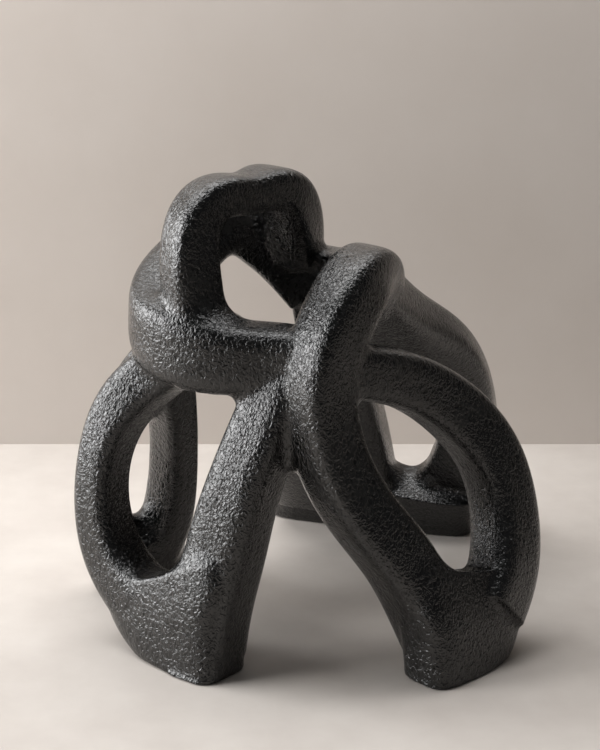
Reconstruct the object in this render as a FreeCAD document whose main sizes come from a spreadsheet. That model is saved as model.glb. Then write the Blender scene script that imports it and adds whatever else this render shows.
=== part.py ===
"""Looped metal sculpture: castings that meet in coped seams, lined up by dowels and standing on sole pads.

Millimetres, +Z up. The origin is on the floor under the middle of the sculpture, +X is to the right and +Y
away from its front.
"""
import FreeCAD, Part
import Sketcher
import math
import os

os.makedirs("parts", exist_ok=True)
doc = FreeCAD.newDocument("looped_sculpture")

# Driving dimensions. Every other length is a share of one of these.
SIZES = (
    ("half_span_x", 150.0, "from the middle to the outermost leg, left and right"),
    ("half_span_y", 153.0, "from the middle to the foremost foot and the rear blade"),
    ("full_rise", 298.0, "from the floor to the top of the crown"),
    ("strand_breadth", 40.0, "of a strand across its flat face"),
    ("strand_thickness", 36.0, "of a strand through its flat face"),
    ("blade_breadth", 152.0, "of the back leg's blade at the floor"),
    ("sole_height", 0.8, "that the pads hold the feet above the floor"),
    ("dowel_diameter", 8.0, "of an alignment dowel"),
    ("dowel_reach", 9.0, "of a dowel into each of the two castings it joins"),
    ("dowel_bevel", 0.8, "on a dowel's ends"),
    ("bore_play", 0.1, "between a dowel and its bore, all round"),
    ("bore_relief", 0.4, "left free past each end of a dowel"),
    ("pad_diameter", 22.0, "of a sole pad"),
    ("pad_thickness", 4.0, "of a sole pad"),
    ("pad_bevel", 0.6, "on a pad's lower rim"),
    ("pad_play", 0.15, "between a pad and its recess, all round"),
    ("shank_diameter", 4.0, "of a pad screw"),
    ("shank_length", 11.0, "of a pad screw, head included"),
    ("head_diameter", 8.0, "of a pad screw"),
    ("head_depth", 2.2, "of a pad screw's countersunk head"),
    ("head_sink", 0.6, "of the head above the pad's lower face"),
    ("drive_width", 2.5, "of the hexagon socket, across its flats"),
    ("drive_depth", 1.4, "of the hexagon socket"),
    ("screw_play", 0.1, "between a screw and its hole, all round"),
    ("tap_relief", 1.5, "of the tapped bore past the screw's tip"),
)
sheet = doc.addObject("Spreadsheet::Sheet", "sizes")
for row, (alias, value, meaning) in enumerate(SIZES, start=1):
    sheet.set(f"A{row}", alias)
    sheet.set(f"B{row}", str(value))
    sheet.set(f"C{row}", meaning)
    sheet.setAlias(f"B{row}", alias)
doc.recompute()


def size(alias):
    """A driving dimension, read from the sheet."""
    return float(sheet.get(alias))


# Each strand is a row of stations: x, y and z of its middle, its breadth and its thickness, as shares of
# half_span_x, half_span_y, full_rise, strand_breadth and strand_thickness.
left_front_foot_shares = (
    (-0.4, -0.86, -0.05, 0.95, 1.08),
    (-0.425, -0.81, 0.01, 1.38, 1.12),
    (-0.46, -0.775, 0.05, 1.76, 1.10),
    (-0.505, -0.725, 0.105, 2.40, 1.07),
    (-0.54, -0.665, 0.175, 2.72, 1.02),
)
left_front_outer_shares = (
    (-0.66, -0.61, 0.1, 0.95, 0.95),
    (-0.79, -0.49, 0.17, 0.84, 0.93),
    (-0.85, -0.44, 0.28, 0.70, 0.86),
    (-0.825, -0.41, 0.41, 0.68, 0.86),
    (-0.73, -0.39, 0.51, 0.82, 0.94),
    (-0.58, -0.41, 0.58, 0.85, 1.00),
    (-0.44, -0.51, 0.645, 0.85, 0.90),
)
left_front_inner_shares = (
    (-0.395, -0.805, 0.04, 1.08, 1.08),
    (-0.365, -0.785, 0.13, 1.05, 1.10),
    (-0.315, -0.77, 0.24, 1.10, 1.10),
    (-0.245, -0.76, 0.37, 1.00, 1.06),
    (-0.15, -0.73, 0.5, 0.93, 1.00),
    (-0.07, -0.69, 0.6, 0.85, 0.94),
)
right_front_foot_shares = (
    (0.6, -0.865, -0.05, 1.35, 1.02),
    (0.612, -0.84, 0.01, 1.56, 1.06),
    (0.628, -0.8, 0.05, 2.03, 1.08),
    (0.645, -0.745, 0.11, 2.33, 1.07),
    (0.64, -0.69, 0.185, 2.50, 1.03),
)
crossing_strand_shares = (
    (0.575, -0.815, 0.045, 1.04, 1.04),
    (0.497, -0.815, 0.13, 1.00, 1.05),
    (0.385, -0.82, 0.24, 0.98, 1.08),
    (0.19, -0.82, 0.37, 0.95, 1.06),
    (0.08, -0.8, 0.51, 0.93, 1.03),
    (0.07, -0.78, 0.63, 0.95, 1.03),
    (0.15, -0.71, 0.74, 0.95, 1.06),
    (0.235, -0.58, 0.8, 0.93, 1.03),
    (0.285, -0.43, 0.785, 0.84, 0.95),
    (0.3, -0.26, 0.71, 0.75, 0.89),
)
right_front_outer_shares = (
    (0.78, -0.68, 0.10, 1.05, 0.98),
    (0.845, -0.57, 0.17, 1.02, 1.00),
    (0.85, -0.47, 0.28, 0.93, 0.97),
    (0.78, -0.43, 0.40, 0.93, 0.94),
    (0.62, -0.45, 0.50, 0.93, 0.94),
    (0.40, -0.55, 0.58, 0.88, 0.94),
    (0.13, -0.73, 0.625, 0.80, 0.90),
)
crown_ring_shares = (
    (0.06, -0.73, 0.64, 0.90, 0.95),
    (-0.13, -0.66, 0.64, 1.00, 1.06),
    (-0.31, -0.64, 0.64, 1.10, 1.17),
    (-0.48, -0.57, 0.66, 1.25, 1.22),
    (-0.59, -0.43, 0.69, 1.10, 1.11),
    (-0.56, -0.27, 0.75, 0.90, 1.00),
    (-0.47, -0.15, 0.80, 0.85, 0.89),
    (-0.34, -0.08, 0.85, 0.90, 0.83),
    (-0.19, -0.04, 0.835, 1.05, 0.83),
    (-0.05, -0.04, 0.775, 1.05, 0.83),
    (0.05, -0.04, 0.70, 0.90, 0.83),
)
crown_arch_shares = (
    (-0.42, -0.57, 0.68, 0.80, 0.85),
    (-0.44, -0.58, 0.76, 0.80, 0.92),
    (-0.45, -0.57, 0.85, 0.76, 0.86),
    (-0.42, -0.535, 0.92, 0.76, 0.80),
    (-0.34, -0.47, 0.953, 0.74, 0.72),
    (-0.23, -0.37, 0.945, 0.74, 0.68),
    (-0.115, -0.24, 0.953, 0.95, 0.78),
    (-0.05, -0.16, 0.885, 0.92, 0.85),
    (-0.03, -0.08, 0.79, 0.80, 0.85),
)
shoulder_shares = (
    (-0.01, -0.04, 0.77, 0.70, 0.72),
    (0.12, -0.08, 0.76, 0.60, 0.72),
    (0.22, -0.22, 0.77, 0.65, 0.78),
    (0.30, -0.39, 0.78, 0.70, 0.78),
)
back_right_arm_shares = (
    (0.29, -0.30, 0.74, 0.85, 0.89),
    (0.42, 0.00, 0.62, 1.30, 0.94),
    (0.61, 0.24, 0.50, 1.60, 0.94),
    (0.78, 0.45, 0.34, 1.05, 0.94),
    (0.77, 0.65, 0.17, 1.20, 0.94),
    (0.70, 0.77, 0.06, 1.25, 0.80),
)
back_left_arm_shares = (
    (0.06, 0.78, 0.07, 1.50, 0.70),
    (0.04, 0.70, 0.15, 1.70, 0.90),
    (-0.03, 0.56, 0.28, 1.40, 0.94),
    (-0.15, 0.34, 0.42, 1.20, 0.94),
    (-0.25, 0.04, 0.55, 1.00, 0.94),
    (-0.29, -0.27, 0.62, 0.90, 0.90),
    (-0.30, -0.55, 0.64, 0.75, 0.80),
)
back_web_shares = (
    (0.34, 0.77, 0.06, 1.00, 0.70),
    (0.31, 0.70, 0.14, 1.15, 0.90),
    (0.26, 0.56, 0.30, 1.05, 0.94),
    (0.17, 0.29, 0.48, 1.10, 0.89),
    (0.09, 0.05, 0.63, 0.90, 0.80),
    (0.02, -0.03, 0.72, 0.60, 0.65),
)
rear_left_inner_shares = (
    (-0.69, 0.05, 0.06, 0.68, 0.75),
    (-0.62, 0.08, 0.15, 0.70, 0.89),
    (-0.58, 0.05, 0.3, 0.60, 0.89),
    (-0.575, -0.04, 0.43, 0.62, 0.89),
    (-0.59, -0.16, 0.56, 0.75, 0.89),
    (-0.58, -0.26, 0.64, 0.75, 0.85),
    (-0.57, -0.34, 0.72, 0.70, 0.80),
)
rear_left_outer_shares = (
    (-0.79, 0, 0.06, 0.70, 0.75),
    (-0.885, -0.04, 0.18, 0.62, 0.83),
    (-0.878, -0.08, 0.34, 0.62, 0.83),
    (-0.75, -0.12, 0.47, 0.65, 0.89),
    (-0.66, -0.16, 0.545, 0.65, 0.85),
    (-0.59, -0.19, 0.59, 0.60, 0.75),
)
rear_left_foot_shares = (
    (-0.73, 0.03, -0.05, 1.00, 0.92),
    (-0.74, 0.03, 0.01, 1.20, 0.97),
    (-0.75, 0.03, 0.06, 1.65, 0.97),
    (-0.76, 0.02, 0.12, 1.75, 0.92),
)
# The back leg's blade takes its breadth from blade_breadth instead.
back_blade_shares = (
    (0.35, 0.85, -0.05, 0.99, 0.83),
    (0.35, 0.81, 0.02, 1.00, 0.92),
    (0.35, 0.69, 0.15, 1.00, 0.94),
)

# The way that the flat face of a strand looks, as a direction at its stations.
LEFT_FRONT = (-0.6, -0.8, 0.0)
RIGHT_FRONT = (0.65, -0.76, 0.0)
FRONT = (0.0, -1.0, 0.0)
BACK_LEG = (-0.25, -0.97, 0.0)
CROWN_RING = (
    FRONT, FRONT, FRONT, (-0.50, -0.85, 0.0), (-1.0, -0.3, 0.0), (-0.9, 0.4, 0.0), (-0.4, 0.9, 0.0),
    (0.0, 1.0, 0.0), (0.0, 1.0, 0.0), (0.0, 1.0, 0.0), (0.0, 1.0, 0.0),
)
CROWN_ARCH = (
    (-0.85, -0.5, 0.0), (-0.85, -0.5, 0.0), (-0.85, -0.5, 0.1), (-0.6, -0.45, 0.6), (-0.3, -0.25, 0.95),
    (0.0, 0.0, 1.0), (0.3, 0.3, 0.9), (0.5, 0.75, 0.4), (0.4, 0.9, 0.2),
)

SQUARENESS = 5.0       # exponent of a section: 2 is an ellipse, more is squarer
RING_POINTS = 24       # on a section
SKIN_GAIN = 3 / (2 + math.cos(2 * math.pi / RING_POINTS))  # makes up for a cubic skin running inside its net
SPACING_POWER = 0.6    # evens out short and long spans between stations
STEPS_PER_SPAN = 2     # sections between two stations
SEARCH_STEPS = 60      # along a strand, to find where it leaves a casting
SEARCH_SLACK = 0.01    # mm, how near to a surface still counts as inside
MIDWAY = 0.5           # parameter of the middle of a strand


class Strand:
    """A route through its stations with a section that changes along it."""

    def __init__(self, shares, facings, breadth_alias="strand_breadth"):
        spans = (size("half_span_x"), size("half_span_y"), size("full_rise"))
        self.points = [FreeCAD.Vector(*(share * span for share, span in zip(row, spans))) for row in shares]
        if not isinstance(facings[0], tuple):
            facings = [facings] * len(shares)
        along = [0.0]
        for here, there in zip(self.points, self.points[1:]):
            along.append(along[-1] + (there - here).Length ** SPACING_POWER)
        self.params = [value / along[-1] for value in along]
        self.route = self.curve(self.points)
        breadth = size(breadth_alias)
        thickness = size("strand_thickness")
        self.girth = self.pairs([(row[3] * breadth, row[4] * thickness) for row in shares])
        self.facing = self.pairs([facing[:2] for facing in facings])
        self.lift = self.pairs([(facing[2], 0.0) for facing in facings])

    def curve(self, points):
        curve = Part.BSplineCurve()
        curve.interpolate(Points=points, Parameters=self.params)
        return curve

    def pairs(self, values):
        """Curve of two values; the parameter is its third, which keeps equal neighbours apart."""
        return self.curve([FreeCAD.Vector(*pair, param) for pair, param in zip(values, self.params)])

    def frame(self, param):
        """The middle, direction, side and face normal of the section at a parameter from 0 to 1."""
        middle = self.route.value(param)
        along = self.route.tangent(param)[0]
        facing = self.facing.value(param)
        normal = FreeCAD.Vector(facing.x, facing.y, self.lift.value(param).x)
        normal = normal - along * normal.dot(along)
        normal.normalize()
        return middle, along, along.cross(normal), normal

    def ring(self, param):
        """Points on |a/A|^n + |b/B|^n = 1, with half breadth A and half thickness B."""
        middle, _, side, normal = self.frame(param)
        girth = self.girth.value(param)
        ring = []
        for index in range(RING_POINTS):
            angle = 2 * math.pi * index / RING_POINTS
            across = math.cos(angle)
            through = math.sin(angle)
            spread = abs(across) ** SQUARENESS + abs(through) ** SQUARENESS
            reach = SKIN_GAIN / 2 * spread ** (-1 / SQUARENESS)
            ring.append(middle + side * (girth.x * reach * across) + normal * (girth.y * reach * through))
        return ring

    def solid(self, first=0.0, last=1.0):
        """Smooth skin over evenly spaced sections from one parameter to another, closed by two flat ends."""
        spans = max(4, round((last - first) * (len(self.points) - 1) * STEPS_PER_SPAN))
        rows = [self.ring(first + (last - first) * step / spans) for step in range(spans + 1)]
        skin = Part.BSplineSurface()
        skin.buildFromPolesMultsKnots(
            rows, [4] + [1] * (spans - 3) + [4], [1] * (RING_POINTS + 1),
            list(range(spans - 1)), list(range(RING_POINTS + 1)), False, True, 3, 3)
        side = skin.toShape()
        ends = [edge for edge in side.Edges if not edge.isSeam(side)]
        faces = [side] + [Part.Face(Part.Wire([edge])) for edge in ends]
        shell = Part.Shell(faces)
        shell.sewShape()
        return Part.Solid(shell)

    def exit_from(self, shape, inside, outside):
        """Where the route, walked from a parameter inside a shape, first comes out of it."""
        span = (outside - inside) / SEARCH_STEPS
        param = inside
        while abs(param - outside) > abs(span) / 2:
            if not shape.isInside(self.route.value(param), SEARCH_SLACK, True):
                return param
            param += span
        return (inside + outside) / 2


def casting_blank(name, shape):
    """The raw form of a casting, before its neighbours are coped out of it."""
    blank = doc.addObject("Part::Feature", f"{name}_blank")
    blank.Shape = shape
    return blank


def bound(kind, name, **expressions):
    """A Part object whose sizes are expressions on the sheet."""
    thing = doc.addObject(kind, name)
    for prop, expression in expressions.items():
        thing.setExpression(prop, expression)
    return thing


def less(name, base, tools):
    """Base with one or more tools cut out of it."""
    if len(tools) > 1:
        group = doc.addObject("Part::Compound", f"{name}_tools")
        group.Links = tools
        tools = [group]
    cut = doc.addObject("Part::Cut", name)
    cut.Base = base
    cut.Tool = tools[0]
    doc.recompute([cut])
    return cut


def outline(sketch, corners):
    """Closed polygon; its corners are pairs of expressions on the sheet, from the sketch's origin."""
    values = [tuple(value_of(sketch, text) for text in corner) for corner in corners]
    for here, there in zip(values, values[1:] + values[:1]):
        sketch.addGeometry(Part.LineSegment(FreeCAD.Vector(*here, 0), FreeCAD.Vector(*there, 0)), False)
    count = len(corners)
    for index in range(count):
        sketch.addConstraint(Sketcher.Constraint("Coincident", index, 2, (index + 1) % count, 1))
    for index, (corner, value) in enumerate(zip(corners, values)):
        for kind, axis, text, amount in zip(("DistanceX", "DistanceY"), (-2, -1), corner, value):
            if text == "0":
                sketch.addConstraint(Sketcher.Constraint("PointOnObject", index, 1, axis))
                continue
            ends = (-1, 1, index, 1) if amount > 0 else (index, 1, -1, 1)
            number = sketch.addConstraint(Sketcher.Constraint(kind, *ends, abs(amount)))
            sketch.setExpression(f"Constraints[{number}]", text if amount > 0 else f"-({text})")


def value_of(thing, text):
    """The number that an expression on the sheet gives."""
    result = thing.evalExpression(text)
    return float(getattr(result, "Value", result))


def plane_of(body, role):
    return next(plane for plane in body.Origin.OriginFeatures if plane.Role == role)


def sketch_in(body, name, role, corners):
    sketch = body.newObject("Sketcher::SketchObject", name)
    sketch.AttachmentSupport = [(plane_of(body, role), "")]
    sketch.MapMode = "FlatFace"
    outline(sketch, corners)
    doc.recompute()
    return sketch


def turned_body(name, corners):
    """Body turned about Z from half its section: pairs of radius and height."""
    body = doc.addObject("PartDesign::Body", name)
    sketch = sketch_in(body, f"{name}_section", "XZ_Plane", corners)
    turn = body.newObject("PartDesign::Revolution", f"{name}_turn")
    turn.Profile = sketch
    turn.ReferenceAxis = (sketch, ["V_Axis"])
    turn.Angle = 360
    doc.recompute()
    return body


def dowel_master():
    """Straight pin with a bevel on each end, half of it in each casting."""
    radius = "sizes.dowel_diameter / 2"
    return turned_body("dowel_master", (
        ("0", "-sizes.dowel_reach"),
        (f"{radius} - sizes.dowel_bevel", "-sizes.dowel_reach"),
        (radius, "-sizes.dowel_reach + sizes.dowel_bevel"),
        (radius, "sizes.dowel_reach - sizes.dowel_bevel"),
        (f"{radius} - sizes.dowel_bevel", "sizes.dowel_reach"),
        ("0", "sizes.dowel_reach"),
    ))


def sole_pad(name):
    """Round pad with a countersunk hole from below and a bevelled lower rim."""
    hole = "sizes.shank_diameter / 2 + sizes.screw_play"
    mouth = "sizes.head_diameter / 2 + sizes.screw_play"
    rim = "sizes.pad_diameter / 2"
    return turned_body(name, (
        (hole, "sizes.pad_thickness"),
        (hole, "sizes.head_sink + sizes.head_depth"),
        (mouth, "sizes.head_sink"),
        (mouth, "0"),
        (f"{rim} - sizes.pad_bevel", "0"),
        (rim, "sizes.pad_bevel"),
        (rim, "sizes.pad_thickness"),
    ))


def pad_screw(name):
    """Countersunk screw, head down, with a hexagon socket."""
    shank = "sizes.shank_diameter / 2"
    tip = "sizes.head_sink + sizes.shank_length"
    body = turned_body(name, (
        ("0", "sizes.head_sink"),
        ("sizes.head_diameter / 2", "sizes.head_sink"),
        (shank, "sizes.head_sink + sizes.head_depth"),
        (shank, f"{tip} - {shank} / 2"),
        (f"{shank} / 2", tip),
        ("0", tip),
    ))
    flat = "sizes.drive_width / 2"
    corner = "sizes.drive_width / sqrt(3)"
    socket = sketch_in(body, f"{name}_drive", "XY_Plane", (
        (flat, f"{corner} / 2"), ("0", corner), (f"-{flat}", f"{corner} / 2"),
        (f"-{flat}", f"-{corner} / 2"), ("0", f"-{corner}"), (flat, f"-{corner} / 2"),
    ))
    before = body.Shape.Volume
    pocket = body.newObject("PartDesign::Pocket", f"{name}_socket")
    pocket.Profile = socket
    pocket.Reversed = True
    pocket.setExpression("Length", "sizes.head_sink + sizes.drive_depth")
    doc.recompute()
    if not body.Shape.Volume < before:
        raise ValueError(f"{name}: the socket cuts nothing")
    return body


# Routes of the strands
strands = {
    "left_front_foot": Strand(left_front_foot_shares, LEFT_FRONT),
    "left_front_outer": Strand(left_front_outer_shares, LEFT_FRONT),
    "left_front_inner": Strand(left_front_inner_shares, LEFT_FRONT),
    "right_front_foot": Strand(right_front_foot_shares, RIGHT_FRONT),
    "crossing": Strand(crossing_strand_shares, RIGHT_FRONT),
    "right_front_outer": Strand(right_front_outer_shares, RIGHT_FRONT),
    "crown_ring": Strand(crown_ring_shares, CROWN_RING),
    "crown_arch": Strand(crown_arch_shares, CROWN_ARCH),
    "shoulder": Strand(shoulder_shares, FRONT),
    "back_blade": Strand(back_blade_shares, BACK_LEG, "blade_breadth"),
    "back_right_arm": Strand(back_right_arm_shares, BACK_LEG),
    "back_left_arm": Strand(back_left_arm_shares, BACK_LEG),
    "back_web": Strand(back_web_shares, BACK_LEG),
    "rear_left_foot": Strand(rear_left_foot_shares, RIGHT_FRONT),
    "rear_left_inner": Strand(rear_left_inner_shares, RIGHT_FRONT),
    "rear_left_outer": Strand(rear_left_outer_shares, RIGHT_FRONT),
}
ring_split_share = 0.56
arch_split_share = 0.60

# Castings in the order in which they are fitted: each is coped to the earlier ones that it meets.
# Name, strand, first and last share of the strand's length, and what is coped out of it.
CASTINGS = (
    ("left_front_foot", "left_front_foot", 0.0, 1.0, ("floor",)),
    ("right_front_foot", "right_front_foot", 0.0, 1.0, ("floor",)),
    ("rear_left_foot", "rear_left_foot", 0.0, 1.0, ("floor",)),
    ("back_foot_blade", "back_blade", 0.0, 1.0, ("floor",)),
    ("crossing_strand", "crossing", 0.0, 1.0, ("right_front_foot",)),
    ("crown_bowl", "crown_ring", 0.0, ring_split_share, ("crossing_strand",)),
    ("crown_band", "crown_ring", ring_split_share, 1.0, ()),
    ("crown_arch", "crown_arch", 0.0, arch_split_share, ("crown_bowl",)),
    ("crown_knob", "crown_arch", arch_split_share, 1.0, ("crown_band",)),
    ("shoulder_saddle", "shoulder", 0.0, 1.0, ("crown_band", "crown_knob", "crossing_strand")),
    ("left_front_outer_strand", "left_front_outer", 0.0, 1.0, ("left_front_foot", "crown_bowl")),
    ("left_front_inner_strand", "left_front_inner", 0.0, 1.0,
     ("left_front_foot", "crown_bowl", "crossing_strand", "left_front_outer_strand")),
    ("right_front_outer_strand", "right_front_outer", 0.0, 1.0,
     ("right_front_foot", "crossing_strand", "crown_bowl")),
    ("back_right_arm", "back_right_arm", 0.0, 1.0,
     ("back_foot_blade", "crossing_strand", "shoulder_saddle", "right_front_outer_strand")),
    ("back_left_arm", "back_left_arm", 0.0, 1.0,
     ("back_foot_blade", "crown_bowl", "left_front_outer_strand", "left_front_inner_strand")),
    ("back_middle_web", "back_web", 0.0, 1.0,
     ("back_foot_blade", "crown_band", "crown_knob", "shoulder_saddle", "crossing_strand",
      "right_front_outer_strand", "back_right_arm", "back_left_arm")),
    ("rear_left_inner_strand", "rear_left_inner", 0.0, 1.0,
     ("floor", "rear_left_foot", "crown_bowl", "left_front_outer_strand", "back_left_arm")),
    ("rear_left_outer_strand", "rear_left_outer", 0.0, 1.0,
     ("floor", "rear_left_foot", "crown_bowl", "left_front_outer_strand", "rear_left_inner_strand")),
)

holes = {name: [] for name, *_ in CASTINGS}

# Where the pads sit under the feet
pad_spread_share = 0.36
blade_way = FreeCAD.Vector(*BACK_LEG).cross(FreeCAD.Vector(0, 0, 1))
blade_run = blade_way * size("blade_breadth") * pad_spread_share
PADS = (
    ("left_front", "left_front_foot", "left_front_foot", 0),
    ("right_front", "right_front_foot", "right_front_foot", 0),
    ("rear_left", "rear_left_foot", "rear_left_foot", 0),
    ("back_left", "back_blade", "back_foot_blade", 1),
    ("back_right", "back_blade", "back_foot_blade", -1),
)
nodes = []
for place, strand, foot, side in PADS:
    middle = strands[strand].points[1] + blade_run * side
    seat = FreeCAD.Placement(FreeCAD.Vector(middle.x, middle.y, 0), FreeCAD.Rotation())
    recess = bound("Part::Cylinder", f"{place}_recess", Radius="sizes.pad_diameter / 2 + sizes.pad_play",
                   Height="sizes.pad_thickness")
    tapped = bound("Part::Cylinder", f"{place}_tapping", Radius="sizes.shank_diameter / 2 + sizes.screw_play",
                   Height="sizes.head_sink + sizes.shank_length + sizes.tap_relief")
    pad = sole_pad(f"{place}_sole_pad")
    screw = pad_screw(f"{place}_pad_screw")
    for thing in (recess, tapped, pad, screw):
        thing.Placement = seat
    holes[foot] += [recess, tapped]
    nodes += [pad, screw]

floor = bound("Part::Box", "floor", Length="4 * sizes.half_span_x", Width="4 * sizes.half_span_y",
              Height="sizes.full_rise")
for axis, expression in (("x", "-2 * sizes.half_span_x"), ("y", "-2 * sizes.half_span_y"),
                         ("z", "sizes.sole_height - sizes.full_rise")):
    floor.setExpression(f"Placement.Base.{axis}", expression)
doc.recompute()

coped = {"floor": floor}
for name, strand, first, last, neighbours in CASTINGS:
    coped[name] = casting_blank(name, strands[strand].solid(first, last))
    if neighbours:
        coped[name] = less(f"{name}_coped", coped[name], [coped[other] for other in neighbours])

# Dowels: group, the strand that they follow, the end where it enters another casting, and the two castings.
SEAMS = (
    ("left_front", "left_front_outer", 0.0, "left_front_foot", "left_front_outer_strand"),
    ("left_front", "left_front_outer", 1.0, "crown_bowl", "left_front_outer_strand"),
    ("left_front", "left_front_inner", 0.0, "left_front_foot", "left_front_inner_strand"),
    ("left_front", "left_front_inner", 1.0, "crown_bowl", "left_front_inner_strand"),
    ("right_front", "crossing", 0.0, "right_front_foot", "crossing_strand"),
    ("right_front", "right_front_outer", 0.0, "right_front_foot", "right_front_outer_strand"),
    ("right_front", "right_front_outer", 1.0, "crossing_strand", "right_front_outer_strand"),
    ("crown", "crown_ring", 0.0, "crossing_strand", "crown_bowl"),
    ("crown", "crown_ring", ring_split_share, "crown_bowl", "crown_band"),
    ("crown", "crown_arch", 0.0, "crown_bowl", "crown_arch"),
    ("crown", "crown_arch", arch_split_share, "crown_arch", "crown_knob"),
    ("crown", "crown_arch", 1.0, "crown_band", "crown_knob"),
    ("crown", "shoulder", 0.0, "crown_band", "shoulder_saddle"),
    ("crown", "shoulder", 1.0, "crossing_strand", "shoulder_saddle"),
    ("back", "back_right_arm", 0.0, "crossing_strand", "back_right_arm"),
    ("back", "back_right_arm", 1.0, "back_foot_blade", "back_right_arm"),
    ("back", "back_left_arm", 0.0, "back_foot_blade", "back_left_arm"),
    ("back", "back_left_arm", 1.0, "crown_bowl", "back_left_arm"),
    ("back", "back_web", 0.0, "back_foot_blade", "back_middle_web"),
    ("back", "back_web", 1.0, "crown_band", "back_middle_web"),
    ("rear_left", "rear_left_inner", 0.0, "rear_left_foot", "rear_left_inner_strand"),
    ("rear_left", "rear_left_inner", 1.0, "crown_bowl", "rear_left_inner_strand"),
    ("rear_left", "rear_left_outer", 0.0, "rear_left_foot", "rear_left_outer_strand"),
    ("rear_left", "rear_left_outer", 1.0, "rear_left_inner_strand", "rear_left_outer_strand"),
)
pins = {}
pin = dowel_master()
for number, (group, strand, end, host, guest) in enumerate(SEAMS, start=1):
    route = strands[strand]
    param = end if 0.0 < end < 1.0 else route.exit_from(coped[host].Shape, end, MIDWAY)
    middle, along, _, _ = route.frame(param)
    turn = FreeCAD.Rotation(FreeCAD.Vector(0, 0, 1), along)
    dowel = doc.addObject("Part::Feature", f"dowel_{number}")
    dowel.Shape = pin.Shape.copy()
    dowel.Placement = FreeCAD.Placement(middle, turn)
    pins.setdefault(group, []).append(dowel)
    bore = bound("Part::Cylinder", f"bore_{number}", Radius="sizes.dowel_diameter / 2 + sizes.bore_play",
                 Height="2 * (sizes.dowel_reach + sizes.bore_relief)")
    half = size("dowel_reach") + size("bore_relief")
    bore.Placement = FreeCAD.Placement(middle - along * half, turn)
    holes[host].append(bore)
    holes[guest].append(bore)

doc.recompute()

for name, *_ in CASTINGS:
    nodes.append(less(name, coped[name], holes[name]))
for group, dowels in pins.items():
    compound = doc.addObject("Part::Compound", f"{group}_dowels")
    compound.Links = dowels
    nodes.append(compound)
doc.recompute()

failed = [thing.Name for thing in doc.Objects if {"Invalid", "Error"} & set(thing.State)]
for node in nodes:
    node.Label = node.Name
    if node.Shape.isNull() or not node.Shape.isValid():
        failed.append(node.Name)
if failed:
    raise ValueError(f"not built: {failed}")
for node in nodes:
    node.Shape.exportStep(os.path.join("parts", f"{node.Label}.step"))
    print(node.Label, len(node.Shape.Solids), round(node.Shape.Volume))
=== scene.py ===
# %% [markdown]
# # A looped metal sculpture
#
# The real object is a table-top sculpture of cast metal, about 30 cm tall. Four legs rise from the
# table, each one a closed loop, and their strands cross over each other and join in an open crown.
# The skin is black and covered all over with short ridges, and it shines softly on their crests.
#
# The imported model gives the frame: every casting, dowel and sole pad, in metres. This script dresses
# it. The castings get a skin in which they flow into one another, and the small fittings keep their
# own shapes and get a finish.

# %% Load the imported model
import math

import bpy
import numpy as np
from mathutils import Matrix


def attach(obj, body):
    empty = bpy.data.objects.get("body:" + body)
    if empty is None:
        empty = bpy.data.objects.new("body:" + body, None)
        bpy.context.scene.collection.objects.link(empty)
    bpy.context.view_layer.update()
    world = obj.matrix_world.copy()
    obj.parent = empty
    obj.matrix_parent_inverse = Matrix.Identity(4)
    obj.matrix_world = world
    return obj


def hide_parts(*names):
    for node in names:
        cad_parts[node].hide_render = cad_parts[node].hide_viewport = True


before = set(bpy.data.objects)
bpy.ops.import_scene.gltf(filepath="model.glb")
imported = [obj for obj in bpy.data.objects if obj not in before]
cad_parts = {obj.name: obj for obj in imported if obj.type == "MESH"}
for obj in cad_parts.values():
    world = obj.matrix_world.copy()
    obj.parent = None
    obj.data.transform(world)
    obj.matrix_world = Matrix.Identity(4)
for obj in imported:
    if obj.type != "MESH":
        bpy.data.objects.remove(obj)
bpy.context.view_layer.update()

import openvdb

print("nodes in the frame:", len(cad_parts))

# %% [markdown]
# ## The strands
#
# Each strand is a thick ribbon with rounded edges. Its middle runs through a few stations in space,
# and at each station it has a breadth and a thickness. A sculptor would bend a wax rod and press it
# flatter here and there; the same can be told with a row of numbers for each station.
#
# One could pull a curve with a bevel in Blender, but a bevel has the same section all along. Here a
# profile is carried along a path with numpy instead, so the section changes as the wax does.

# %% Sizes of the whole
HALF_SPAN = np.array([150.0, 153.0, 298.0])    # mm: half width, half depth and the full height
STRAND = np.array([40.0, 36.0])                # mm: breadth and thickness of a strand
BLADE = np.array([152.0, 36.0])                # mm: the same of the back leg's blade
SOLE = 0.8                                     # mm: the feet end here, and the pads stand below
SQUARENESS = 5.0                               # exponent of a section: 2 is an ellipse, more is squarer
AROUND = 24                                    # sections are drawn with this many points
print("half spans and height in mm:", HALF_SPAN.tolist())

# %% [markdown]
# ## Where each strand runs
#
# A row is one station: the strand's middle as shares of the half spans and the height, then its
# breadth and thickness as shares of a strand's usual ones. The direction ahead of the rows is the one
# that the strand's broad side faces.

# %% Stations: x, y, z, breadth and thickness as shares of the sizes above
LEFT_FRONT = (-0.6, -0.8, 0.0)
RIGHT_FRONT = (0.65, -0.76, 0.0)
FRONT = (0.0, -1.0, 0.0)
BACK_LEG = (-0.25, -0.97, 0.0)
CROWN_RING = (
    FRONT, FRONT, FRONT, (-0.5, -0.85, 0.0), (-1.0, -0.3, 0.0), (-0.9, 0.4, 0.0), (-0.4, 0.9, 0.0),
    (0.0, 1.0, 0.0), (0.0, 1.0, 0.0), (0.0, 1.0, 0.0), (0.0, 1.0, 0.0))
CROWN_ARCH = (
    (-0.85, -0.5, 0.0), (-0.85, -0.5, 0.0), (-0.85, -0.5, 0.1), (-0.6, -0.45, 0.6), (-0.3, -0.25, 0.95),
    (0.0, 0.0, 1.0), (0.3, 0.3, 0.9), (0.5, 0.75, 0.4), (0.4, 0.9, 0.2))

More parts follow.
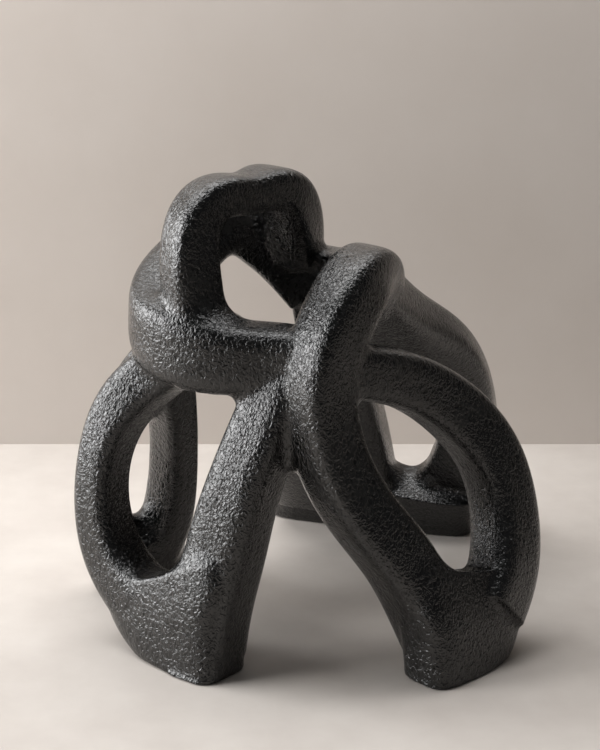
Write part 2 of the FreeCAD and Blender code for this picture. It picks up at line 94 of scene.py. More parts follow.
STATIONS = {
    "left_front_foot": (LEFT_FRONT, (
        (-0.4, -0.86, -0.05, 0.95, 1.08), (-0.425, -0.81, 0.01, 1.38, 1.12),
        (-0.46, -0.775, 0.05, 1.76, 1.10), (-0.505, -0.725, 0.105, 2.40, 1.07),
        (-0.54, -0.665, 0.175, 2.72, 1.02))),
    "left_front_outer_strand": (LEFT_FRONT, (
        (-0.66, -0.61, 0.1, 0.95, 0.95), (-0.79, -0.49, 0.17, 0.84, 0.93),
        (-0.85, -0.44, 0.28, 0.70, 0.86), (-0.825, -0.41, 0.41, 0.68, 0.86),
        (-0.73, -0.39, 0.51, 0.82, 0.94), (-0.58, -0.41, 0.58, 0.85, 1.00),
        (-0.44, -0.51, 0.645, 0.85, 0.90))),
    "left_front_inner_strand": (LEFT_FRONT, (
        (-0.395, -0.805, 0.04, 1.08, 1.08), (-0.365, -0.785, 0.13, 1.05, 1.10),
        (-0.315, -0.77, 0.24, 1.10, 1.10), (-0.245, -0.76, 0.37, 1.00, 1.06),
        (-0.15, -0.73, 0.5, 0.93, 1.00), (-0.07, -0.69, 0.6, 0.85, 0.94))),
    "right_front_foot": (RIGHT_FRONT, (
        (0.6, -0.865, -0.05, 1.35, 1.02), (0.612, -0.84, 0.01, 1.56, 1.06),
        (0.628, -0.8, 0.05, 2.03, 1.08), (0.645, -0.745, 0.11, 2.33, 1.07),
        (0.64, -0.69, 0.185, 2.50, 1.03))),
    "crossing_strand": (RIGHT_FRONT, (
        (0.575, -0.815, 0.045, 1.04, 1.04), (0.497, -0.815, 0.13, 1.00, 1.05),
        (0.385, -0.82, 0.24, 0.98, 1.08), (0.19, -0.82, 0.37, 0.95, 1.06),
        (0.08, -0.8, 0.51, 0.93, 1.03), (0.07, -0.78, 0.63, 0.95, 1.03), (0.15, -0.71, 0.74, 0.95, 1.06),
        (0.235, -0.58, 0.8, 0.93, 1.03), (0.285, -0.43, 0.785, 0.84, 0.95),
        (0.3, -0.26, 0.71, 0.75, 0.89))),
    "right_front_outer_strand": (RIGHT_FRONT, (
        (0.78, -0.68, 0.10, 1.05, 0.98), (0.845, -0.57, 0.17, 1.02, 1.00), (0.85, -0.47, 0.28, 0.93, 0.97),
        (0.78, -0.43, 0.40, 0.93, 0.94), (0.62, -0.45, 0.50, 0.93, 0.94), (0.40, -0.55, 0.58, 0.88, 0.94),
        (0.13, -0.73, 0.625, 0.80, 0.90))),
    "crown_bowl": (CROWN_RING, (
        (0.06, -0.73, 0.64, 0.90, 0.95), (-0.13, -0.66, 0.64, 1.00, 1.06), (-0.31, -0.64, 0.64, 1.10, 1.17),
        (-0.48, -0.57, 0.66, 1.25, 1.22), (-0.59, -0.43, 0.69, 1.10, 1.11), (-0.56, -0.27, 0.75, 0.90, 1.00),
        (-0.47, -0.15, 0.80, 0.85, 0.89), (-0.34, -0.08, 0.85, 0.90, 0.83), (-0.19, -0.04, 0.835, 1.05, 0.83),
        (-0.05, -0.04, 0.775, 1.05, 0.83), (0.05, -0.04, 0.70, 0.90, 0.83))),
    "crown_arch": (CROWN_ARCH, (
        (-0.42, -0.57, 0.68, 0.80, 0.85), (-0.44, -0.58, 0.76, 0.80, 0.92),
        (-0.45, -0.57, 0.85, 0.76, 0.86), (-0.42, -0.535, 0.92, 0.76, 0.80),
        (-0.34, -0.47, 0.953, 0.74, 0.72), (-0.23, -0.37, 0.945, 0.74, 0.68),
        (-0.115, -0.24, 0.953, 0.95, 0.78), (-0.05, -0.16, 0.885, 0.92, 0.85),
        (-0.03, -0.08, 0.79, 0.80, 0.85))),
    "shoulder_saddle": (FRONT, (
        (-0.01, -0.04, 0.77, 0.70, 0.72), (0.12, -0.08, 0.76, 0.60, 0.72), (0.22, -0.22, 0.77, 0.65, 0.78),
        (0.30, -0.39, 0.78, 0.70, 0.78))),
    "back_right_arm": (BACK_LEG, (
        (0.29, -0.30, 0.74, 0.85, 0.89), (0.42, 0.00, 0.62, 1.30, 0.94), (0.61, 0.24, 0.50, 1.60, 0.94),
        (0.78, 0.45, 0.34, 1.05, 0.94), (0.77, 0.65, 0.17, 1.20, 0.94), (0.70, 0.77, 0.06, 1.25, 0.80))),
    "back_left_arm": (BACK_LEG, (
        (0.06, 0.78, 0.07, 1.50, 0.70), (0.04, 0.70, 0.15, 1.70, 0.90), (-0.03, 0.56, 0.28, 1.40, 0.94),
        (-0.15, 0.34, 0.42, 1.20, 0.94), (-0.25, 0.04, 0.55, 1.00, 0.94), (-0.29, -0.27, 0.62, 0.90, 0.90),
        (-0.30, -0.55, 0.64, 0.75, 0.80))),
    "back_middle_web": (BACK_LEG, (
        (0.34, 0.77, 0.06, 1.00, 0.70), (0.31, 0.70, 0.14, 1.15, 0.90), (0.26, 0.56, 0.30, 1.05, 0.94),
        (0.17, 0.29, 0.48, 1.10, 0.89), (0.09, 0.05, 0.63, 0.90, 0.80), (0.02, -0.03, 0.72, 0.60, 0.65))),
    "rear_left_inner_strand": (RIGHT_FRONT, (
        (-0.69, 0.05, 0.06, 0.68, 0.75), (-0.62, 0.08, 0.15, 0.70, 0.89), (-0.58, 0.05, 0.3, 0.60, 0.89),
        (-0.575, -0.04, 0.43, 0.62, 0.89), (-0.59, -0.16, 0.56, 0.75, 0.89),
        (-0.58, -0.26, 0.64, 0.75, 0.85), (-0.57, -0.34, 0.72, 0.70, 0.80))),
    "rear_left_outer_strand": (RIGHT_FRONT, (
        (-0.79, 0, 0.06, 0.70, 0.75), (-0.885, -0.04, 0.18, 0.62, 0.83),
        (-0.878, -0.08, 0.34, 0.62, 0.83), (-0.75, -0.12, 0.47, 0.65, 0.89),
        (-0.66, -0.16, 0.545, 0.65, 0.85), (-0.59, -0.19, 0.59, 0.60, 0.75))),
    "rear_left_foot": (RIGHT_FRONT, (
        (-0.73, 0.03, -0.05, 1.00, 0.92), (-0.74, 0.03, 0.01, 1.20, 0.97), (-0.75, 0.03, 0.06, 1.65, 0.97),
        (-0.76, 0.02, 0.12, 1.75, 0.92))),
    "back_foot_blade": (BACK_LEG, (
        (0.35, 0.85, -0.05, 0.99, 0.83), (0.35, 0.81, 0.02, 1.00, 0.92), (0.35, 0.69, 0.15, 1.00, 0.94))),
}
# The ring and the arch are each cast in two pieces, split at these shares of their length.
SPLITS = {"crown_bowl": (0.56, "crown_band"), "crown_arch": (0.60, "crown_knob")}
print("strands:", len(STATIONS))


# %% [markdown]
# ## A smooth route through the stations
#
# A natural cubic spline goes through every station and bends as little as it can, as a thin strip of
# wood does when it is held at a few nails. That is what makes the loops look drawn in one go.

# %% A natural cubic spline
def spline(params, values, at):
    """Natural cubic spline through values at params, read at the parameters at.

    On each span of length h, value = a y0 + b y1 + ((a^3 - a) m0 + (b^3 - b) m1) h^2 / 6 with a + b = 1.
    The bends m solve h0 m0 + 2 (h0 + h1) m1 + h1 m2 = 6 (s1 - s0), where s are the slopes of the spans.
    """
    values = np.asarray(values, float)
    steps = np.diff(params)
    slopes = np.diff(values, axis=0) / steps[:, None]
    inner = np.arange(1, len(params) - 1)
    system = np.eye(len(params))
    system[inner, inner - 1] = steps[:-1]
    system[inner, inner] = 2 * (steps[:-1] + steps[1:])
    system[inner, inner + 1] = steps[1:]
    right = np.zeros_like(values)
    right[inner] = 6 * np.diff(slopes, axis=0)
    bends = np.linalg.solve(system, right)
    span = np.clip(np.searchsorted(params, at) - 1, 0, len(steps) - 1)
    length = steps[span][:, None]
    b = (at - params[span])[:, None] / length
    a = 1 - b
    curve = a * values[span] + b * values[span + 1]
    return curve + ((a**3 - a) * bends[span] + (b**3 - b) * bends[span + 1]) * length**2 / 6


def parameters(points):
    """A parameter from 0 to 1 for each station: sums of the chords to the power 0.6."""
    chords = np.linalg.norm(np.diff(points, axis=0), axis=1) ** 0.6
    along = np.concatenate([[0.0], np.cumsum(chords)])
    return along / along[-1]


def units(vectors):
    """Vectors scaled to length one."""
    return vectors / np.linalg.norm(vectors, axis=-1, keepdims=True)

# %% [markdown]
# ## The directions that a section lies in
#
# A section stands across the route. Its broad side faces the direction that the stations name, as far
# as the route allows, so a strand can turn its flat side from the front to the top on its way.

# %% The middle, side and face of a strand
def strand_frames(name, at):
    """Middle, side direction, face direction and half sizes of a strand at the parameters at, in mm.

    The face direction is the facing with its part along the route taken off; the side is along x face.
    """
    facing, rows = STATIONS[name]
    rows = np.array(rows)
    points = rows[:, :3] * HALF_SPAN
    params = parameters(points)
    facings = np.array(facing if isinstance(facing[0], tuple) else [facing] * len(rows))
    middle = spline(params, points, at)
    step = 1e-4
    along = units(spline(params, points, at + step) - spline(params, points, at - step))
    face = spline(params, facings, at)
    face = units(face - along * np.sum(face * along, axis=1, keepdims=True))
    girth = BLADE if name == "back_foot_blade" else STRAND
    halves = spline(params, rows[:, 3:] * girth, at) / 2
    return middle, np.cross(along, face), face, halves


# %% [markdown]
# ## The skin of one strand
#
# The section is a superellipse, |a / A|^5 + |b / B|^5 = 1: flatter on its four sides than an ellipse
# and rounder at its corners than a bar. Two sections to a span are enough, because a cubic B-spline
# then smooths the net of points in both directions, as the finisher's file does with the wax.

# %% Smoothing a net of points
def b_spline(net, at, axis):
    """Uniform cubic B-spline over net along one axis, read at the knots at; axis 1 closes on itself.

    At u = i + f, value = ((1-f)^3 P(i-1) + (3f^3-6f^2+4) P(i) + (-3f^3+3f^2+3f+1) P(i+1) + f^3 P(i+2)) / 6.
    """
    if axis == 1:
        net = net.swapaxes(0, 1)
        net = np.concatenate([net[-1:], net, net[:2]])
    else:
        net = np.concatenate([2 * net[:1] - net[1:2], net, 2 * net[-1:] - net[-2:-1]])
    cell = np.minimum(at.astype(int), len(net) - 4)
    f = (at - cell)[:, None, None]
    value = ((1 - f)**3 * net[cell] + (3 * f**3 - 6 * f**2 + 4) * net[cell + 1]
             + (-3 * f**3 + 3 * f**2 + 3 * f + 1) * net[cell + 2] + f**3 * net[cell + 3]) / 6
    return value.swapaxes(0, 1) if axis == 1 else value

# %% [markdown]
# ## A closed skin for each strand
#
# Each section is a ring of points, and the rings follow one another along the route. The net is
# smoothed both ways and closed at its two ends. Nothing reaches below the soles.

# %% A strand as a grid of points
def strand_grid(name, per_span=10, round_count=64):
    """Points of a strand's skin: sections along the route, points around each section.

    A point is middle + side A r cos(t) + face B r sin(t), with r = (|cos t|^n + |sin t|^n)^(-1/n).
    """
    spans = max(4, (len(STATIONS[name][1]) - 1) * 2)
    middle, side, face, halves = strand_frames(name, np.linspace(0, 1, spans + 1))
    angle = np.linspace(0, 2 * np.pi, AROUND, endpoint=False)
    across, through = np.cos(angle), np.sin(angle)
    reach = (np.abs(across)**SQUARENESS + np.abs(through)**SQUARENESS) ** (-1 / SQUARENESS)
    reach = reach * 3 / (2 + math.cos(2 * math.pi / AROUND))
    net = (middle[:, None] + side[:, None] * (halves[:, :1] * reach * across)[..., None]
           + face[:, None] * (halves[:, 1:] * reach * through)[..., None])
    net = b_spline(net, np.linspace(0, spans, spans * per_span + 1), axis=0)
    return b_spline(net, np.linspace(0, AROUND, round_count, endpoint=False), axis=1)


def closed_net(grid):
    """Points and quads of a grid that is round on axis 1, closed at both ends by a ring on its middle."""
    ends = [np.broadcast_to(row.mean(axis=0), row.shape)[None] for row in (grid[0], grid[-1])]
    grid = np.concatenate([ends[0], grid, ends[1]])
    rows, count = grid.shape[:2]
    index = np.arange(rows * count).reshape(rows, count)
    turned = np.roll(index, -1, axis=1)
    quads = np.stack([index[:-1], turned[:-1], turned[1:], index[1:]], axis=-1).reshape(-1, 4)
    return grid.reshape(-1, 3), quads


shells = {}
for name in STATIONS:
    points, quads = closed_net(strand_grid(name))
    points[:, 2] = np.maximum(points[:, 2], SOLE)
    shells[name] = points, quads
print("points on the strands:", sum(len(points) for points, _ in shells.values()))

# %% [markdown]
# ## Flowing the strands into one
#
# The real piece is one skin. Where two strands meet, the wax was smeared into a small fillet. A join
# of meshes with sharp seams would look wrong, so the strands are turned into a distance field: at
# every point of a fine grid, how far the nearest skin is. Growing that field by the fillet's radius
# and shrinking it back fills each inner corner and leaves the outer shapes as they were.

# %% Distance fields
PITCH = 0.8      # mm between the grid's points, and about the size of a quad
COARSE_PITCH = 2.4                      # mm, the same for the rounder places
MARGIN = 8                              # steps of the grid around the strands
FILLET = 5.0                            # mm, radius along the creases
FULL_SHARE = 1.3                        # a rounder place holds fully where its weight passes 1
# Middle, reach and radius, in mm, of the places where a loop's bottom is rounder than that.
CROTCHES = (((-82.0, -107.0, 66.0), 44.0, 15.0), ((76.0, -134.0, 84.0), 44.0, 15.0),
            ((-45.0, -92.0, 222.0), 40.0, 15.0), ((80.0, 112.0, 58.0), 36.0, 9.0),
            ((-112.0, 0.0, 60.0), 32.0, 9.0))


def field_of(points, quads, reach, pitch=PITCH):
    """Signed distance in mm to a closed mesh, negative inside it, kept up to reach mm from it."""
    return openvdb.FloatGrid.createLevelSetFromPolygons(
        points.astype(np.float32), quads=quads.astype(np.uint32),
        transform=openvdb.createLinearTransform(voxelSize=pitch), halfWidth=reach / pitch + 3)


def closed_up(points, quads, radius, pitch=PITCH):
    """The mesh grown by radius and shrunk back by it, which fills its inner corners."""
    grown = field_of(points, quads, radius, pitch).convertToQuads(radius)
    return field_of(*grown, radius, pitch).convertToQuads(-radius)


def joined(shells):
    """All the shells as one list of points and one of quads."""
    offsets = np.cumsum([0] + [len(points) for points, _ in shells])
    return (np.concatenate([points for points, _ in shells]),
            np.concatenate([quads + offset for (_, quads), offset in zip(shells, offsets)]))


sharp = joined(list(shells.values()))
low = np.floor(sharp[0].min(axis=0) / PITCH).astype(int) - MARGIN
count = np.ceil(sharp[0].max(axis=0) / PITCH).astype(int) + MARGIN - low


def values_of(points, quads):
    """The field near a mesh as a block of numbers, from the corner low."""
    block = np.zeros(count, np.float32)
    field_of(points, quads, 0).copyToArray(block, ijk=tuple(low.tolist()))
    return block


values = values_of(*sharp)
radii = {radius for _, _, radius in CROTCHES}
rounded = {radius: values_of(*closed_up(*sharp, radius, COARSE_PITCH)) for radius in sorted(radii)}
for middle, reach, radius in CROTCHES:
    # weight = 1.3 (1 - (distance / reach)^4), clipped to 0 and 1: the larger radius inside, none at the rim
    first = np.maximum(((np.array(middle) - reach) / PITCH).astype(int) - low, 0)
    last = np.minimum(((np.array(middle) + reach) / PITCH).astype(int) - low + 1, count)
    part = tuple(slice(a, b) for a, b in zip(first, last))
    axes = [((np.arange(a, b) + start) * PITCH - centre) ** 2
            for a, b, start, centre in zip(first, last, low, middle)]
    distance = (axes[0][:, None, None] + axes[1][None, :, None] + axes[2][None, None, :]) / reach**2
    weight = np.clip(FULL_SHARE * (1 - distance**2), 0, 1).astype(np.float32)
    values[part] += weight * (rounded[radius][part] - values[part])
mixed = openvdb.FloatGrid(3 * PITCH)
mixed.transform = openvdb.createLinearTransform(voxelSize=PITCH)
mixed.copyFromArray(values, ijk=tuple(low.tolist()))
body_points, body_quads = closed_up(*mixed.convertToQuads(0.0), FILLET)
body_points = body_points.astype(float)
body_quads = body_quads.astype(int)


def volume_of(points, quads):
    """Volume inside a closed mesh: a sixth of a . (b x c), added over its triangles."""
    a, b, c, d = (points[quads[:, corner]] for corner in range(4))
    return float((np.sum(a * np.cross(b, c), axis=1) + np.sum(a * np.cross(c, d), axis=1)).sum() / 6)


if volume_of(body_points, body_quads) < 0:
    body_quads = body_quads[:, ::-1].copy()
print("skin:", len(body_points), "points,", round(volume_of(body_points, body_quads) / 1000), "cm3")

# %% [markdown]
# ## Easing the skin
#
# The field's grid leaves faint steps in the skin. A few rounds of easing take them out. Each moves
# every point towards its neighbours and then back outwards, so the whole doesn't shrink.

# %% Easing the skin
def neighbour_mean(values, quads, count):
    """Mean of each point's values over the points that share an edge with it."""
    here = quads.reshape(-1)
    there = np.roll(quads, -1, axis=1).reshape(-1)
    total = np.stack([np.bincount(here, values[there, k], count) for k in range(values.shape[1])], axis=1)
    return total / np.maximum(np.bincount(here, minlength=count), 1)[:, None]


def eased(points, quads, rounds):
    """Each round moves the points 0.5 of the way to their neighbours' mean, then 0.52 back outwards."""
    for _ in range(rounds):
        for share in (0.5, -0.52):
            points = points + share * (neighbour_mean(points, quads, len(points)) - points)
    return points


EASING_ROUNDS = 6
body_points = eased(body_points, body_quads, EASING_ROUNDS)
body_points[:, 2] = np.where(body_points[:, 2] < SOLE + 0.5 * PITCH, SOLE, body_points[:, 2])
print("height of the skin in mm:", np.round([body_points[:, 2].min(), body_points[:, 2].max()], 2).tolist())

# %% [markdown]
# ## Which casting a face belongs to
#
# The skin is one, but the piece was cast in sections, and each section is a part of its own. A face
# belongs to the strand whose own section it is nearest to, measured in that section's own shape.


# %% Nearness to each strand
SECTIONS = 81           # sections along a strand that a point is measured against
BLOCK = 50000           # points measured at a time, which keeps the memory small
NOT_HERE = 1000.0       # mm, for the piece of a split strand that a point isn't on
FARTHEST = 60.0         # mm, beyond which all strands count alike
BORDER_ROUNDS = 4       # rounds that smooth the borders between castings


def nearness(points, name):
    """How far points lie outside a strand's section in mm, and the share of its length there.

    With a and b across and through the section at the nearest middle, and c along the route, it is
    ((|a/A|^n + |b/B|^n)^(1/n) - 1) min(A, B) + |c|.
    """
    at = np.linspace(0, 1, SECTIONS)
    middle, side, face, halves = strand_frames(name, at)
    outside = np.empty(len(points))
    share = np.empty(len(points))
    for start in range(0, len(points), BLOCK):
        part = slice(start, start + BLOCK)
        block = points[part]
        gaps = np.sum(block**2, axis=1)[:, None] - 2 * block @ middle.T + np.sum(middle**2, axis=1)
        nearest = gaps.argmin(axis=1)
        away = block - middle[nearest]
        half = halves[nearest]
        across = np.abs(np.sum(away * side[nearest], axis=1)) / half[:, 0]
        through = np.abs(np.sum(away * face[nearest], axis=1)) / half[:, 1]
        along = np.linalg.norm(away, axis=1)**2 - (across * half[:, 0])**2 - (through * half[:, 1])**2
        ratio = (across**SQUARENESS + through**SQUARENESS) ** (1 / SQUARENESS)
        outside[part] = (ratio - 1) * half.min(axis=1) + np.sqrt(np.maximum(along, 0))
        share[part] = at[nearest]
    return outside, share


fields = []
owners = []
for name in STATIONS:
    outside, share = nearness(body_points, name)
    if name in SPLITS:
        split, second = SPLITS[name]
        fields += [np.where(share <= split, outside, NOT_HERE), np.where(share > split, outside, NOT_HERE)]
        owners += [name, second]
    else:
        fields.append(outside)
        owners.append(name)
fields = np.minimum(np.stack(fields, axis=1), FARTHEST)
for _ in range(BORDER_ROUNDS):
    fields = neighbour_mean(fields, body_quads, len(body_points))
face_owner = fields[body_quads].sum(axis=1).argmin(axis=1)
print("faces by casting:", dict(zip(owners, np.bincount(face_owner, minlength=len(owners)).tolist())))

# %% [markdown]
# ## Shading across the cuts
#
# Where the skin is cut into castings, the light must not show the cut. The normals are taken from
# the whole skin before it is cut, so both sides of a cut are shaded alike.

# %% Normals of the whole skin
def point_normals(points, quads):
    """Unit normals at the points: the diagonals' cross product of each quad, added at its corners."""
    a, b, c, d = (points[quads[:, corner]] for corner in range(4))
    normal = np.cross(c - a, d - b)
    total = np.stack([np.bincount(quads.reshape(-1), np.repeat(normal[:, k], 4), len(points))
                      for k in range(3)], axis=1)
    return units(total)


body_normals = point_normals(body_points, body_quads)
print("normals:", len(body_normals))

# %% [markdown]
# ## Closing the castings
#
# A cut leaves an open rim. Each rim is found as a chain of edges that only one face uses, and a fan
# of triangles closes it, so every casting is a closed body.

# %% Closing a casting where it was cut
def components(edges, count):
    """The smallest point index on each point's chain of edges, found by passing it along the edges."""
    label = np.arange(count)
    while True:
        low = np.minimum(label[edges[:, 0]], label[edges[:, 1]])
        new = label.copy()
        np.minimum.at(new, edges[:, 0], low)
        np.minimum.at(new, edges[:, 1], low)
        new = new[new]
        if (new == label).all():
            return label
        label = new


def cap_faces(quads, points):
    """Triangles that close each open rim of quads with a fan, and the fans' middle points."""
    here = quads.reshape(-1)
    there = np.roll(quads, -1, axis=1).reshape(-1)
    key = here * len(points) + there
    back = there * len(points) + here
    open_edge = ~np.isin(key, back)
    edges = np.stack([here[open_edge], there[open_edge]], axis=1)
    rim, first = np.unique(components(edges, len(points))[edges[:, 0]], return_inverse=True)
    total = np.stack([np.bincount(first, points[edges[:, 0], k]) for k in range(3)], axis=1)
    middles = total / np.bincount(first)[:, None]
    return np.stack([edges[:, 1], edges[:, 0], len(points) + first], axis=1), middles

# %% [markdown]
# ## One object for each casting
#
# Each casting becomes an object of its own, named after its node, at the origin and in metres.

# %% A casting as an object
def casting_piece(name, quads):
    """The part of the skin that belongs to one casting, closed by fans, with the whole skin's normals."""
    used, quads = np.unique(quads, return_inverse=True)
    quads = quads.reshape(-1, 4)
    points, normals = body_points[used], body_normals[used]
    caps, middles = cap_faces(quads, points)
    mesh = bpy.data.meshes.new(name + "_skin")
    metres = np.concatenate([points, middles]) / 1000
    mesh.from_pydata(metres, [], quads.tolist() + caps.tolist())
    smooth = np.zeros(len(mesh.polygons), bool)
    smooth[:len(quads)] = True
    mesh.polygons.foreach_set("use_smooth", smooth)
    loops = np.zeros((len(mesh.loops), 3))
    loops[:quads.size] = normals[quads.reshape(-1)]
    mesh.normals_split_custom_set(loops)
    piece = bpy.data.objects.new(name + "_skin", mesh)
    bpy.context.scene.collection.objects.link(piece)
    return piece


skins = {}
for number, name in enumerate(owners):
    skins[name] = casting_piece(name, body_quads[face_owner == number])
print("triangles:", {name: sum(len(p.vertices) - 2 for p in s.data.polygons) for name, s in skins.items()})


# %% [markdown]
# ## Finishes
#
# A finish is a small network of nodes. One function adds a node with its settings and links, and
# another turns a colour as a web page writes it into the linear values that light needs.

# %% Colours and nodes
def colour(code):
    """Linear RGBA of an sRGB hex colour: ((c + 0.055) / 1.055)^2.4, or c / 12.92 near black."""
    channels = [int(code[start:start + 2], 16) / 255 for start in (1, 3, 5)]
    return [((c + 0.055) / 1.055) ** 2.4 if c > 0.04045 else c / 12.92 for c in channels] + [1.0]


def add(material, kind, links=None, **settings):
    """Adds a node. links maps an input to another node's output; settings are properties or inputs."""
    tree = material.node_tree
    node = tree.nodes.new("ShaderNode" + kind)
    for key, value in settings.items():
        if hasattr(node, key):
            setattr(node, key, value)
        else:
            node.inputs[key.replace("_", " ")].default_value = value
    for key, output in (links or {}).items():
        tree.links.new(output, node.inputs[key])
    return node


def new_material(name):
    """An empty material with this name."""
    material = bpy.data.materials.new(name)
    material.use_nodes = True
    material.node_tree.nodes.clear()
    return material


def finish_with(material, shader):
    """Links the shader to the material's output and gives the material back."""
    output = add(material, "OutputMaterial")
    material.node_tree.links.new(shader.outputs[0], output.inputs["Surface"])
    return material


# %% [markdown]
# ## Blackened cast iron
#
# The skin of the casting shows what the wax and the sand left: short crooked ridges up to 2 mm apart
# with darker valleys between them, a little longer up and down than across. It was blackened with a
# patina and waxed, so the ridges glint where they face the window, and the fronts stay nearly black.


# %% The casting's finish
def blackened_casting():
    """Cast iron, blackened and waxed: short worm-like ridges up to 2 mm apart and a fine grain on them.

    The blackened metal is dark and glossy. A thin wax film over it follows the same ridges more softly
    and gives the tops their grazing sheen. The valleys are darker than the ridges.
    """
    material = new_material("blackened_waxed_cast_iron")
    place = add(material, "TexCoord").outputs["Object"]
    # The ridges lie a little longer along the height than across it.
    drawn = add(material, "Mapping", {"Vector": place}, Scale=(1.0, 1.0, 0.7))
    worms = add(material, "TexNoise", {"Vector": drawn.outputs[0]},
                Scale=460.0, Detail=2.0, Roughness=0.55, Distortion=0.9)
    # The sand's real grain of 0.3 mm is too fine to show, so it is drawn at about 0.9 mm.
    fine = add(material, "TexNoise", {"Vector": place}, Scale=1100.0, Detail=2.0, Roughness=0.6)
    patches = add(material, "TexNoise", {"Vector": place}, Scale=22.0, Detail=3.0)
    pit = add(material, "MapRange", {"Value": worms.outputs["Fac"]},
              **{"From Min": 0.46, "From Max": 0.34})
    height = add(material, "Math", {0: fine.outputs["Fac"], 2: worms.outputs["Fac"]},
                 operation="MULTIPLY_ADD")
    height.inputs[1].default_value = 0.10
    metal_relief = add(material, "Bump", {"Height": height.outputs[0]}, Strength=1.0, Distance=0.0012)
    wax_relief = add(material, "Bump", {"Height": height.outputs[0]}, Strength=1.0, Distance=0.0009)
    base = add(material, "MixRGB", {"Fac": pit.outputs[0]},
               Color1=colour("#353535"), Color2=colour("#1b1b1b"))
    rough = add(material, "MapRange", {"Value": patches.outputs["Fac"]},
                **{"From Min": 0.3, "From Max": 0.7, "To Min": 0.20, "To Max": 0.30})
    shader = add(material, "BsdfPrincipled", {
        "Base Color": base.outputs[0], "Roughness": rough.outputs[0], "Normal": metal_relief.outputs[0],
        "Coat Normal": wax_relief.outputs[0]}, **{"Metallic": 1.0, "Coat Weight": 0.6, "Coat Roughness": 0.17})
    return finish_with(material, shader)


casting_finish = blackened_casting()
for name, piece in skins.items():
    piece.data.materials.append(casting_finish)
    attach(piece, "root")
    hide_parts(name)
print("dressed castings:", len(skins))

# %% [markdown]
# ## Steel, zinc and rubber
#
# The dowels are ground steel, the pad screws are zinc plated and the sole pads are moulded rubber.
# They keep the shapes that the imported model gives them.


# %% Finishes of the small fittings
def ground_steel():
    """Centreless-ground steel has fine rings round the pin, about 0.2 mm apart; a fine grain about 0.5 mm wide
    stands for them.
    """
    material = new_material("ground_steel")
    place = add(material, "TexCoord").outputs["Object"]
    lines = add(material, "TexNoise", {"Vector": place}, Scale=2000.0, Detail=2.0)
    rough = add(material, "MapRange", {"Value": lines.outputs["Fac"]}, **{"To Min": 0.18, "To Max": 0.32})
    bump = add(material, "Bump", {"Height": lines.outputs["Fac"]}, Strength=0.2, Distance=0.0001)
    shader = add(material, "BsdfPrincipled", {"Roughness": rough.outputs[0], "Normal": bump.outputs[0]},
                 Metallic=1.0)
    shader.inputs["Base Color"].default_value = colour("#b9b7b2")
    return finish_with(material, shader)


def zinc_plate():
    """Bright zinc plating: small crystals about 1 mm wide, slightly blue, slightly uneven in gloss."""
    material = new_material("zinc_plate")
    place = add(material, "TexCoord").outputs["Object"]
    spangle = add(material, "TexVoronoi", {"Vector": place}, Scale=1000.0)
    tint = add(material, "MixRGB", {"Fac": spangle.outputs["Color"]}, Color1=colour("#b4b9bd"),
               Color2=colour("#a3a7aa"))
    rough = add(material, "MapRange", {"Value": spangle.outputs["Distance"]},
                **{"To Min": 0.25, "To Max": 0.4})
    shader = add(material, "BsdfPrincipled", {"Base Color": tint.outputs[0], "Roughness": rough.outputs[0]},
                 Metallic=1.0)
    return finish_with(material, shader)


def moulded_rubber():
    """Moulded rubber: dull, dark, with a fine matt grain of about 0.4 mm and a little pale dust."""
    material = new_material("moulded_rubber")
    place = add(material, "TexCoord").outputs["Object"]
    grain = add(material, "TexNoise", {"Vector": place}, Scale=2500.0, Detail=3.0)
    dust = add(material, "TexNoise", {"Vector": place}, Scale=150.0, Detail=4.0)
    tint = add(material, "MixRGB", {"Fac": dust.outputs["Fac"]}, Color1=colour("#232323"),
               Color2=colour("#343332"))
    bump = add(material, "Bump", {"Height": grain.outputs["Fac"]}, Strength=0.4, Distance=0.0001)
    shader = add(material, "BsdfPrincipled", {"Base Color": tint.outputs[0], "Normal": bump.outputs[0]},
                 Roughness=0.75)
    return finish_with(material, shader)


fittings = {"_dowels": ground_steel(), "_pad_screw": zinc_plate(), "_sole_pad": moulded_rubber()}
for name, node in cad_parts.items():
    finish = next((material for end, material in fittings.items() if name.endswith(end)), casting_finish)
    node.data.materials.clear()
    node.data.materials.append(finish)
print("fittings with a finish:", sum(name.endswith(tuple(fittings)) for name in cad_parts))


# %% [markdown]
# ## The studio
#
# The sculpture stands on a pale stone slab before a plaster wall. Both are matt, with faint clouds
# in their colour. The wall ends beside the window, so that the window's light passes its end.

# %% Floor and wall
def plane(name, corners, material):
    """A flat four-cornered piece of the studio, which isn't part of the sculpture."""
    mesh = bpy.data.meshes.new(name)
    mesh.from_pydata(corners, [], [(0, 1, 2, 3)])
    mesh.materials.append(material)
    thing = bpy.data.objects.new(name, mesh)
    bpy.context.scene.collection.objects.link(thing)
    return thing


def pale_surface(name, light, dark, scale):
    """A mineral surface with soft cloudy patches between two near colours."""
    material = new_material(name)
    place = add(material, "TexCoord").outputs["Object"]
    clouds = add(material, "TexNoise", {"Vector": place}, Scale=scale, Detail=6.0, Roughness=0.6)
    spread = add(material, "MapRange", {"Value": clouds.outputs["Fac"]}, **{"From Min": 0.3, "From Max": 0.7})
    tint = add(material, "MixRGB", {"Fac": spread.outputs[0]}, Color1=colour(light), Color2=colour(dark))
    shader = add(material, "BsdfPrincipled", {"Base Color": tint.outputs[0]}, Roughness=0.85)
    return finish_with(material, shader)


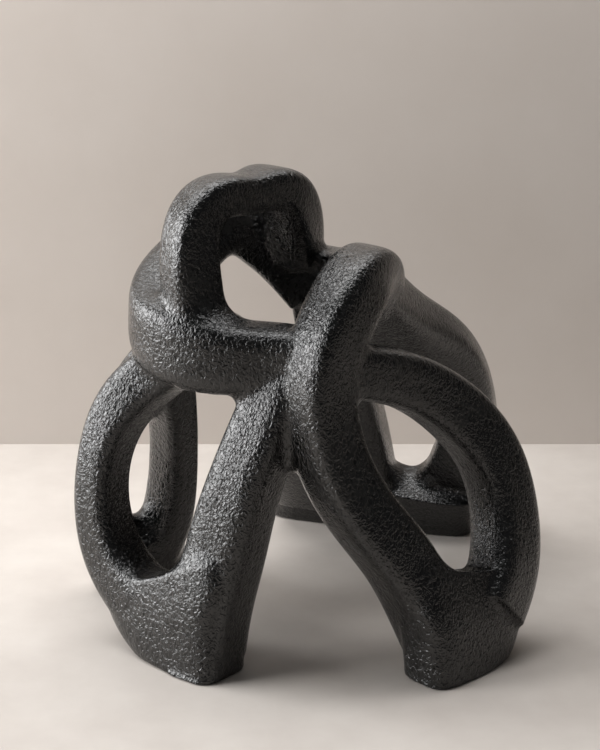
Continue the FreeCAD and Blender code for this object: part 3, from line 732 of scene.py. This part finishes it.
WALL_Y = 0.31           # m, how far the wall stands behind the middle
WALL_LEFT = -0.6        # m, where the wall ends beside the window
REACH = 3               # m, how far floor and wall go on
floor = plane("floor", [(-REACH, -REACH, 0), (REACH, -REACH, 0), (REACH, WALL_Y, 0), (-REACH, WALL_Y, 0)],
              pale_surface("floor_stone", "#cfc8c1", "#c2bab3", 14.0))
wall = plane("wall", [(WALL_LEFT, WALL_Y, 0), (REACH, WALL_Y, 0), (REACH, WALL_Y, REACH),
                      (WALL_LEFT, WALL_Y, REACH)],
             pale_surface("wall_plaster", "#cdc5be", "#c6bdb5", 5.0))
print("studio:", floor.name, "and", wall.name, "at y =", WALL_Y, "from x =", WALL_LEFT)

# %% [markdown]
# ## Light
#
# A low wide window stands at the left, beside the wall's open end, so the strands' left faces carry
# its reflection. A soft lamp above and behind lights the tops. The room adds a weak even light.


# %% Lamps and world
def lamp(name, place, target, wide, high, watts):
    """A rectangular lamp at place that looks at target; sizes in metres, power in watts."""
    light = bpy.data.lights.new(name, "AREA")
    light.shape = "RECTANGLE"
    light.size, light.size_y, light.energy = wide, high, watts
    thing = bpy.data.objects.new(name, light)
    bpy.context.scene.collection.objects.link(thing)
    thing.location = place
    direction = np.array(target) - np.array(place)
    flat = math.hypot(direction[0], direction[1])
    thing.rotation_euler = (math.atan2(flat, -direction[2]), 0.0, math.atan2(-direction[0], direction[1]))
    return thing


lamp("window", (-1.6, 0.0, 0.56), (0.0, 0.0, 0.2), 1.45, 0.95, 46.0)
lamp("above", (-0.1, 0.2, 0.95), (0.0, -0.05, 0.2), 1.1, 0.6, 13.0)
world = bpy.data.worlds.new("studio")
bpy.context.scene.world = world
world.use_nodes = True
world.node_tree.nodes["Background"].inputs["Color"].default_value = colour("#d2d2d2")
world.node_tree.nodes["Background"].inputs["Strength"].default_value = 0.15
print("lamps: window and above")

# %% [markdown]
# ## Camera
#
# The camera stands where the photographer's stood: a little above the crown, looking 16 degrees down
# through a long lens.


# %% Camera
LOOKS_DOWN = 16                                 # degrees
camera = bpy.data.cameras.new("camera")
camera.sensor_fit = "VERTICAL"
camera.sensor_height = 36.0                     # mm
camera.lens = 81.6                              # mm
camera_thing = bpy.data.objects.new("camera", camera)
bpy.context.scene.collection.objects.link(camera_thing)
camera_thing.location = (-0.0016, -1.0815, 0.461)
camera_thing.rotation_euler = (math.radians(90 - LOOKS_DOWN), 0.0, 0.0)
bpy.context.scene.camera = camera_thing
bpy.context.scene.view_settings.view_transform = "Standard"
print("camera at", tuple(round(value, 3) for value in camera_thing.location))
